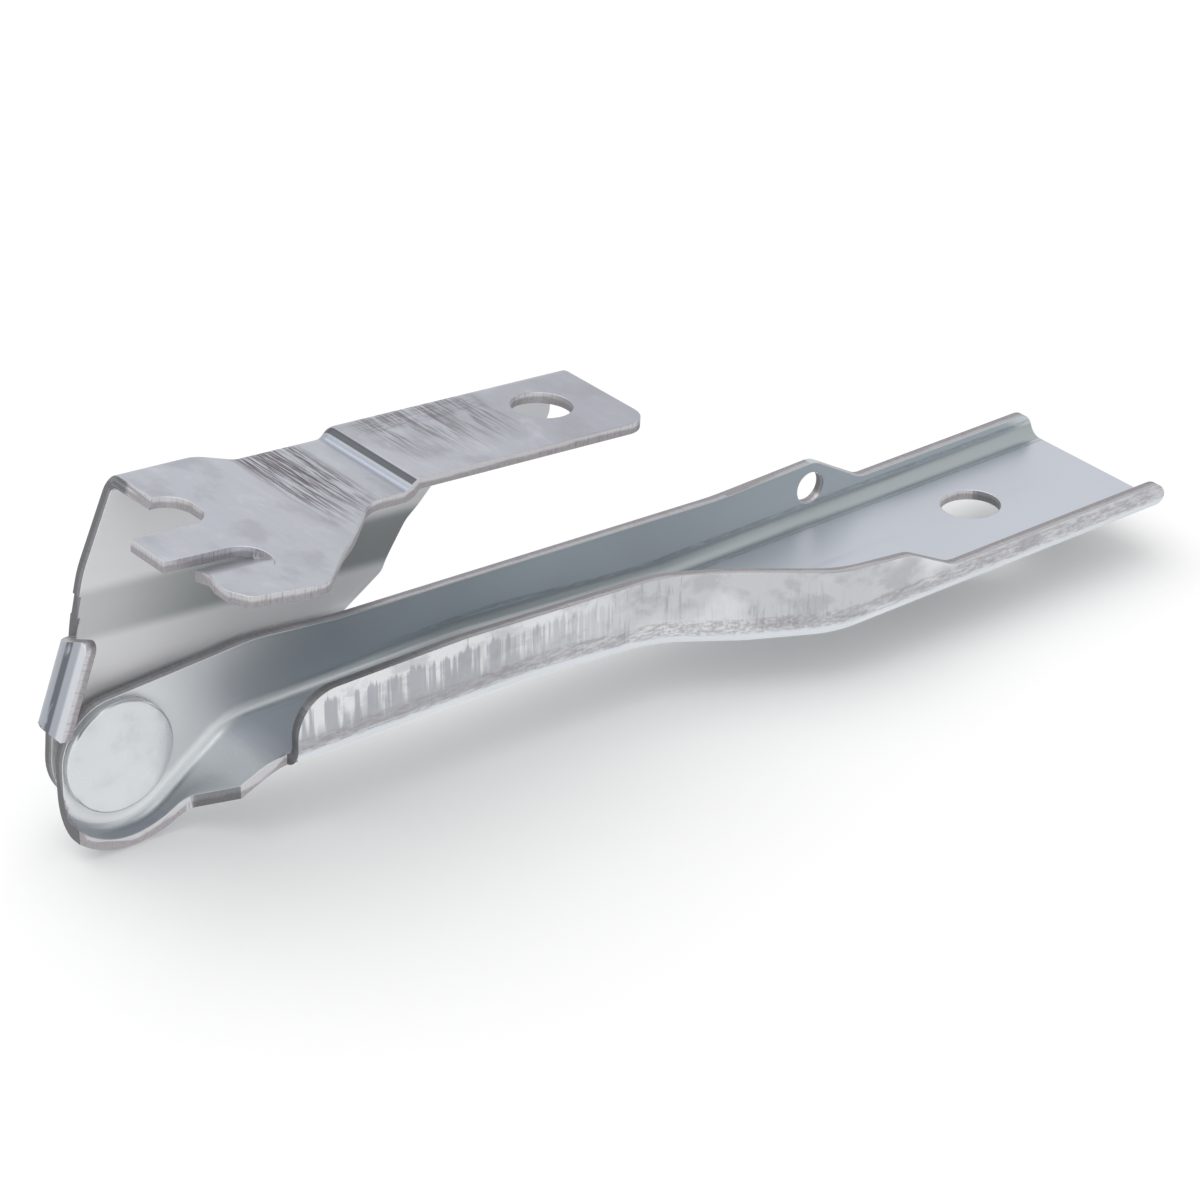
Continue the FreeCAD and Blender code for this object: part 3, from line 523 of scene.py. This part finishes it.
sheetPieces = {
    "thickness": 2.0, "edgeRound": {"arm": 0.20, "bracket": 0.15}, "roundSteps": 2, "sharpFrom": 35.0,
    "punchSide": (0.0, -0.5, 0.85), "striaSquash": 0.92,
    # millimetres: how close points are merged, how thin a sliver goes, where a ray starts below the
    # face, and how far the sheet may be from its thickness there
    "mergeWithin": 0.002, "sliverWithin": 0.001, "rayStart": 0.01, "thicknessSlack": 0.35,
    # two faces lie in one flat area above this cosine, and are joined to one below this angle
    "flatFrom": 0.9999, "joinBelow": 0.4, "normalWeight": 80,
}
broadFace, shearedFace = 0, 1


def linkObject(name, mesh):
    # a new object on the mesh, at the origin
    made = bpy.data.objects.new(name, mesh)
    bpy.context.scene.collection.objects.link(made)
    return made


def evenNormals(piece):
    piece.modifiers.new("evenNormals", "WEIGHTED_NORMAL").weight = sheetPieces["normalWeight"]


def sortFaces(shape):
    # A triangle is a broad face of the sheet where the sheet's other side lies one thickness
    # behind it, and a sheared edge everywhere else.
    tree = BVHTree.FromBMesh(shape)
    for face in shape.faces:
        start = face.calc_center_median() - face.normal * (sheetPieces["rayStart"] * mm)
        depth = tree.ray_cast(start, -face.normal)[3]
        broad = (depth is not None
                 and abs(depth - sheetPieces["thickness"] * mm) < sheetPieces["thicknessSlack"] * mm)
        face.material_index = broadFace if broad else shearedFace
        face.smooth = True
    # one flat area is of one kind, and the larger share of it decides which
    settled = set()
    for first in shape.faces:
        if first in settled:
            continue
        settled.add(first)
        flat = [first]
        for current in flat:
            for other in [face for edge in current.edges for face in edge.link_faces]:
                if other not in settled and other.normal.dot(first.normal) > sheetPieces["flatFrom"]:
                    settled.add(other)
                    flat.append(other)
        broadArea = sum(face.calc_area() for face in flat if face.material_index == broadFace)
        kind = broadFace if 2 * broadArea > sum(face.calc_area() for face in flat) else shearedFace
        for face in flat:
            face.material_index = kind


def layEdgeBands(shape):
    # On a sheared face the band runs from 0 on the punch side to 1 on the other, and the striae
    # follow the place with the direction across the sheet squashed, so that they stand upright.
    bandLayer = shape.loops.layers.uv.new("band")
    striaeLayer = shape.loops.layers.float_vector.new("striae")
    punchSide = Vector(sheetPieces["punchSide"])
    for face in shape.faces:
        beside = [other for edge in face.edges for other in edge.link_faces
                  if other.material_index == broadFace]
        if face.material_index == broadFace or not beside:
            for loop in face.loops:
                loop[bandLayer].uv = (0.0, 0.5)
                loop[striaeLayer] = loop.vert.co
            continue
        side = max(beside, key=lambda other: other.normal.dot(punchSide))
        towards = side.normal.dot(punchSide) > 0
        origin = side.verts[0].co
        for loop in face.loops:
            spot = loop.vert.co
            below = (origin - spot).dot(side.normal) / (sheetPieces["thickness"] * mm)
            loop[bandLayer].uv = (0.0, below if towards else 1.0 - below)
            loop[striaeLayer] = spot - side.normal * (spot.dot(side.normal) * sheetPieces["striaSquash"])


def pressedSheet(nodeName, pieceName, skin, body):
    # a merged copy of the node, its faces sorted, with rounded edges
    mesh = frame["nodes"][nodeName].data.copy()
    mesh.name = pieceName
    mesh.materials.clear()
    mesh.materials.append(skin)
    mesh.materials.append(cutEdge)
    shape = bmesh.new()
    shape.from_mesh(mesh)
    bmesh.ops.remove_doubles(shape, verts=shape.verts, dist=sheetPieces["mergeWithin"] * mm)
    bmesh.ops.dissolve_degenerate(shape, edges=shape.edges, dist=sheetPieces["sliverWithin"] * mm)
    shape.normal_update()
    sortFaces(shape)
    layEdgeBands(shape)
    bmesh.ops.dissolve_limit(shape, angle_limit=math.radians(sheetPieces["joinBelow"]), verts=shape.verts,
                             edges=shape.edges, delimit={"MATERIAL"})
    shape.normal_update()
    shape.to_mesh(mesh)
    shape.free()
    # which way each face looks at rest, kept on the mesh so that it moves with its body
    facing = np.zeros(len(mesh.polygons) * 3, np.float32)
    mesh.polygons.foreach_get("normal", facing)
    mesh.attributes.new("facing", "FLOAT_VECTOR", "FACE").data.foreach_set("vector", facing)
    piece = linkObject(pieceName, mesh)
    rounding = piece.modifiers.new("edgeRound", "BEVEL")
    rounding.width = sheetPieces["edgeRound"][body] * mm
    rounding.segments = sheetPieces["roundSteps"]
    rounding.limit_method = "ANGLE"
    rounding.angle_limit = math.radians(sheetPieces["sharpFrom"])
    rounding.use_clamp_overlap = False
    evenNormals(piece)
    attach(piece, body)
    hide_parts(nodeName)
    return piece


arm = pressedSheet("hinge_arm", "arm_sheet_piece", armSkin, "arm")
bracket = pressedSheet("bonnet_bracket", "bracket_sheet_piece", bracketSkin, "bracket")
print("sheets:", len(arm.data.polygons), len(bracket.data.polygons), "faces")


# Rivet, turned from its profile; places along the pivot and radii in millimetres

rivetSizes = {
    "headFront": 12.25, "headBack": 14.20, "headRadius": 10.05, "rimRound": 0.45, "crown": 0.06,
    "bodyRadius": 5.0, "bodyEnd": 17.42, "neckRadius": 4.0, "tailStart": 21.02, "tailRim": 0.8,
    "tailEnd": 24.02, "tailRadius": 6.75, "tailTip": 3.4,
    "around": 160, "arcSteps": 7, "tailSteps": 14, "faceSteps": 10, "mergeWithin": 0.001,
}


def revolved(name, profile, sizes):
    # surface r(t), y(t) carried round the pivot axis: x = pivot x + r cos a, z = pivot z + r sin a
    around = sizes["around"]
    profile = np.asarray(profile) * mm
    angle = np.linspace(0, 2 * np.pi, around, endpoint=False)
    radius, depth = profile[:, 0][:, None], profile[:, 1][:, None]
    x = pivot[0] + radius * np.cos(angle)
    y = depth + 0 * angle
    z = pivot[2] + radius * np.sin(angle)
    points = np.stack([x, y, z], axis=-1).reshape(-1, 3)
    row, column = np.meshgrid(np.arange(len(profile) - 1), np.arange(around), indexing="ij")
    following = (column + 1) % around
    quads = np.stack([row * around + column, row * around + following,
                      (row + 1) * around + following, (row + 1) * around + column], axis=-1).reshape(-1, 4)
    mesh = bpy.data.meshes.new(name)
    mesh.from_pydata(points.tolist(), [], quads.tolist())
    shape = bmesh.new()
    shape.from_mesh(mesh)
    bmesh.ops.remove_doubles(shape, verts=shape.verts, dist=sizes["mergeWithin"] * mm)
    bmesh.ops.recalc_face_normals(shape, faces=shape.faces)
    for face in shape.faces:
        face.smooth = True
    shape.to_mesh(mesh)
    shape.free()
    return mesh


def rivetProfile(sizes):
    # from the middle of the head's face, whose crown falls as the fourth power of the radius, out
    # over its quarter-round rim, back along the stepped body and over the quarter-oval tail
    rim, flatOut = sizes["rimRound"], sizes["headRadius"] - sizes["rimRound"]
    out = np.linspace(0, flatOut, sizes["faceSteps"])
    face = np.stack([out, sizes["headFront"] + sizes["crown"] * (out / sizes["headRadius"]) ** 4], axis=1)
    turn = np.linspace(0, np.pi / 2, sizes["arcSteps"])
    arc = np.stack([flatOut + rim * np.sin(turn),
                    sizes["headFront"] + sizes["crown"] + rim - rim * np.cos(turn)], axis=1)
    shank = [(sizes["headRadius"], sizes["headBack"]), (sizes["bodyRadius"], sizes["headBack"]),
             (sizes["bodyRadius"], sizes["bodyEnd"]), (sizes["neckRadius"], sizes["bodyEnd"]),
             (sizes["neckRadius"], sizes["tailStart"]), (sizes["tailRadius"], sizes["tailStart"])]
    tailTurn = np.linspace(0, np.pi / 2, sizes["tailSteps"])
    domeStart = sizes["tailStart"] + sizes["tailRim"]
    tail = np.stack([sizes["tailTip"] + (sizes["tailRadius"] - sizes["tailTip"]) * np.cos(tailTurn),
                     domeStart + (sizes["tailEnd"] - domeStart) * np.sin(tailTurn)], axis=1)
    return np.vstack([face, arc[1:], shank, tail, [(0, sizes["tailEnd"])]])


rivetMesh = revolved("rivet_piece", rivetProfile(rivetSizes), rivetSizes)
rivetMesh.materials.append(headMetal)
rivet = linkObject("rivet_piece", rivetMesh)
evenNormals(rivet)
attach(rivet, "bracket")
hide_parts("pivot_rivet")
print("rivet:", len(rivetMesh.polygons), "faces")

for nodeName, metal in (("pivot_bush", bushMetal), ("thrust_washer", washerMetal),
                        ("backing_washer", washerMetal)):
    node = frame["nodes"][nodeName]
    node.data.materials.clear()
    node.data.materials.append(metal)


# Floor, light and camera

# metres, and watts for the key light; the card is a grey panel that only reflections see
studio = {
    "floorSize": 6.0, "floorGap": 0.0002, "floor": "#F6F6F6", "floorSeenByMetal": 0.96,
    "keySize": 1.5, "keyAt": (-0.25, 0.25, 1.1), "keyPower": 6.5, "skyLight": 0.86,
    "cardSize": 0.075, "cardDistance": 0.15, "card": "#4A5056", "cardFacing": (-0.100, 0.0, 0.008),
    "cardTowards": (0.542, -0.687, 0.484),
}
white = (1, 1, 1, 1)


def panel(name, corners, material):
    # a flat square that belongs to the studio and not to the hinge
    mesh = bpy.data.meshes.new(name)
    mesh.from_pydata(corners, [], [(0, 1, 2, 3)])
    mesh.materials.append(material)
    made = linkObject(name, mesh)
    return made


# the camera sees a pale floor with the object's shadow, and the metal mirrors an even white one,
# as over a light table
floorMaterial, floorTree = newMaterial("paleMattFloor")
floorShade = add(floorTree, "ShaderNodeBsdfDiffuse", {"Color": linear(studio["floor"])})
floorGlow = add(floorTree, "ShaderNodeEmission", {"Color": white, "Strength": studio["floorSeenByMetal"]})
floorRays = add(floorTree, "ShaderNodeLightPath").outputs
floorMix = add(floorTree, "ShaderNodeMixShader", {}, {0: floorRays["Is Glossy Ray"],
                                                      1: floorShade.outputs[0], 2: floorGlow.outputs[0]})
add(floorTree, "ShaderNodeOutputMaterial", {}, {"Surface": floorMix.outputs[0]})
half, lowest = studio["floorSize"] / 2, cadBox[0].z - studio["floorGap"]
panel("floor", [(-half, -half, lowest), (half, -half, lowest), (half, half, lowest), (-half, half, lowest)],
      floorMaterial)

# white around: full strength where it is seen or mirrored, a little less as light
world = bpy.data.worlds.new("studio")
world.use_nodes = True
bpy.context.scene.world = world
worldTree = world.node_tree
worldTree.nodes.clear()
rays = add(worldTree, "ShaderNodeLightPath").outputs
seen = maths(worldTree, "MAXIMUM", rays["Is Camera Ray"], rays["Is Glossy Ray"])
seen = maths(worldTree, "MAXIMUM", seen, rays["Is Transmission Ray"])
strength = ramp(worldTree, seen, 0.0, 1.0, studio["skyLight"], 1.0)
sky = add(worldTree, "ShaderNodeBackground", {"Color": white}, {"Strength": strength})
add(worldTree, "ShaderNodeOutputWorld", {}, {"Surface": sky.outputs[0]})

middle = (cadBox[0] + cadBox[1]) / 2
keyLamp = bpy.data.lights.new("keyLight", "AREA")
keyLamp.size = studio["keySize"]
keyLamp.energy = studio["keyPower"]
keyLight = linkObject("keyLight", keyLamp)
keyLight.location = middle + Vector(studio["keyAt"])
keyLight.rotation_mode = "QUATERNION"
keyLight.rotation_quaternion = (middle - keyLight.location).to_track_quat("-Z", "Y")

# the photograph's camera, fitted to the holes and edges of the part
view = {
    "imageSize": 1200.0, "focalPixels": 4484.69, "sensorMm": 36.0,
    "azimuth": -38.28, "elevation": 28.95, "roll": 0.17,
    "distanceMm": 817.15, "aimRightMm": -67.34, "aimUpMm": -15.92,
}
azimuth, elevation = math.radians(view["azimuth"]), math.radians(view["elevation"])
back = Vector((math.sin(azimuth) * math.cos(elevation), -math.cos(azimuth) * math.cos(elevation),
               math.sin(elevation)))
right = Vector((math.cos(azimuth), math.sin(azimuth), 0))
up = back.cross(right)
aim = (right * view["aimRightMm"] + up * view["aimUpMm"]) * mm
cameraData = bpy.data.cameras.new("camera")
cameraData.sensor_width = view["sensorMm"]
cameraData.lens = view["focalPixels"] / view["imageSize"] * view["sensorMm"]
camera = linkObject("camera", cameraData)
turn = Matrix((right, up, back)).transposed().to_4x4() @ Matrix.Rotation(math.radians(view["roll"]), 4, "Z")
camera.matrix_world = Matrix.Translation(aim + back * view["distanceMm"] * mm) @ turn
bpy.context.scene.camera = camera

# a grey card out of sight: the channel mirrors it where the photograph's metal goes dark
cardCloth, cardTree = newMaterial("nearCardCloth")
cardShade = add(cardTree, "ShaderNodeEmission", {"Color": linear(studio["card"]), "Strength": 1.0})
add(cardTree, "ShaderNodeOutputMaterial", {}, {"Surface": cardShade.outputs[0]})
towards = Vector(studio["cardTowards"]).normalized()
centre = Vector(studio["cardFacing"]) + towards * studio["cardDistance"]
side = Vector((0, 0, 1)).cross(towards).normalized() * studio["cardSize"] / 2
rise = towards.cross(side).normalized() * studio["cardSize"] / 2
nearCard = panel("nearCard", [centre - side - rise, centre + side - rise, centre + side + rise,
                              centre - side + rise], cardCloth)
nearCard.visible_camera = False
nearCard.visible_diffuse = False
nearCard.visible_shadow = False

bpy.context.scene.view_settings.view_transform = "Standard"
print("studio and camera ready")
